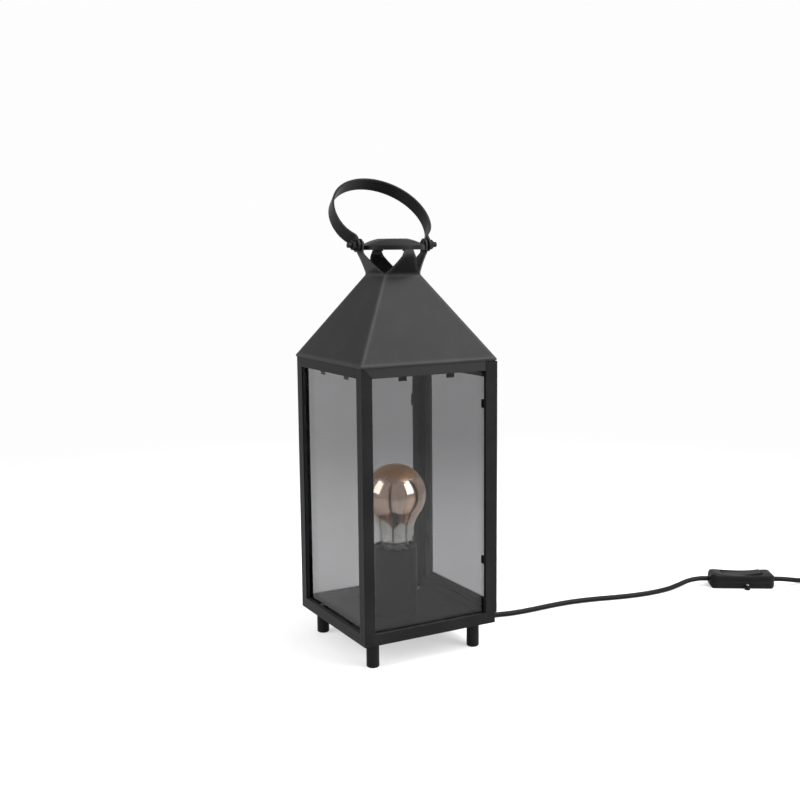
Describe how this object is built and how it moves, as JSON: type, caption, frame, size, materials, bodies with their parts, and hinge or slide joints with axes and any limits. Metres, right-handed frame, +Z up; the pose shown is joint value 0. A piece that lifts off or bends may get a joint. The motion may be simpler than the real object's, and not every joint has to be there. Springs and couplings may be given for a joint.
{
  "type": "lantern table lamp",
  "caption": "Square lantern table lamp with smoked panes, a hinged side door, a pyramid roof with an open neck and cap, a swinging strap handle, a screw bulb and a cord with an inline switch.",
  "frame": {"origin": "on the floor under the centre of the square body", "axes": "+Z up, -Y towards the wide front face, +X towards the door side, from which the cord leaves"},
  "size_m": [0.6334, 0.2875, 0.4508],
  "materials": {
    "black_steel": "satin powder coat",
    "black_plastic": "fine grain",
    "cord_jacket": "smooth flexible jacket",
    "smoked_glass": "clear smoked sheet",
    "seal_rubber": "matt",
    "zinc_steel": "zinc plated",
    "brass_parts": "plain",
    "amber_glass": "amber tinted",
    "bulb_metal": "rolled",
    "stem_glass": "clear",
    "filament_coat": "phosphor coat",
    "magnet_metal": "plated"
  },
  "bodies": {
    "carcass": {"back_gasket": "seal_rubber", "back_glass": "smoked_glass", "back_left_foot": "black_steel", "back_right_foot": "black_steel", "base_tray": "black_steel", "cap": "black_steel", "cord_coil": "cord_jacket", "cord_cover": "black_plastic", "cord_cover_screws": "zinc_steel", "cord_lead": "cord_jacket", "cord_run": "cord_jacket", "cord_tail": "cord_jacket", "corner_post_back_left": "black_steel", "corner_post_back_right": "black_steel", "corner_post_front_left": "black_steel", "corner_post_front_right": "black_steel", "door_magnet": "magnet_metal", "foot_screws": "zinc_steel", "front_gasket": "seal_rubber", "front_glass": "smoked_glass", "front_left_foot": "black_steel", "front_right_foot": "black_steel", "glass_clips": "black_steel", "handle_bolts": "black_steel", "handle_nuts": "black_steel", "handle_washers": "black_steel", "hinge_pins": "zinc_steel", "hinge_post_leaves": "black_steel", "lamp_tube": "black_steel", "lampholder_base": "black_plastic", "lampholder_contact": "brass_parts", "lampholder_shell": "black_plastic", "lampholder_sleeve": "brass_parts", "left_gasket": "seal_rubber", "left_glass": "smoked_glass", "nipple": "zinc_steel", "nipple_nuts": "zinc_steel", "plug_body": "black_plastic", "plug_pins": "brass_parts", "roof": "black_steel", "strain_relief": "black_plastic", "switch_lower_shell": "black_plastic", "switch_screw": "zinc_steel", "switch_upper_shell": "black_plastic", "top_rail_back": "black_steel", "top_rail_front": "black_steel", "top_rail_left": "black_steel", "top_rail_right": "black_steel"},
    "door": {"door_frame": "black_steel", "door_gasket": "seal_rubber", "door_glass": "smoked_glass", "door_glass_clips": "black_steel", "hinge_door_leaves": "black_steel"},
    "handle": {"handle_strap": "black_steel"},
    "bulb": {"bulb_glass": "amber_glass", "bulb_cap": "bulb_metal", "bulb_contact": "bulb_metal", "bulb_stem": "stem_glass", "bulb_filaments": "filament_coat"},
    "rocker": {"switch_rocker": "black_plastic"}
  },
  "joints": [
    {"name": "door_hinge", "type": "hinge", "parent": "carcass", "child": "door", "pos_m": [0.0723, 0.0724, 0.156], "axis": [0, 0, 1], "range_deg": [0, 110]},
    {"name": "handle_hinge", "type": "hinge", "parent": "carcass", "child": "handle", "pos_m": [0, 0, 0.3856], "axis": [1, 0, 0], "range_deg": [-90, 178]},
    {"name": "bulb_unscrew", "type": "slide", "parent": "carcass", "child": "bulb", "axis": [0, 0, 1], "range_m": [0, 0.028]},
    {"name": "switch_rocker_hinge", "type": "hinge", "parent": "carcass", "child": "rocker", "pos_m": [0.4167, -0.0487, 0.0095], "axis": [0.5299, 0.848, 0], "range_deg": [0, 7]}
  ]
}
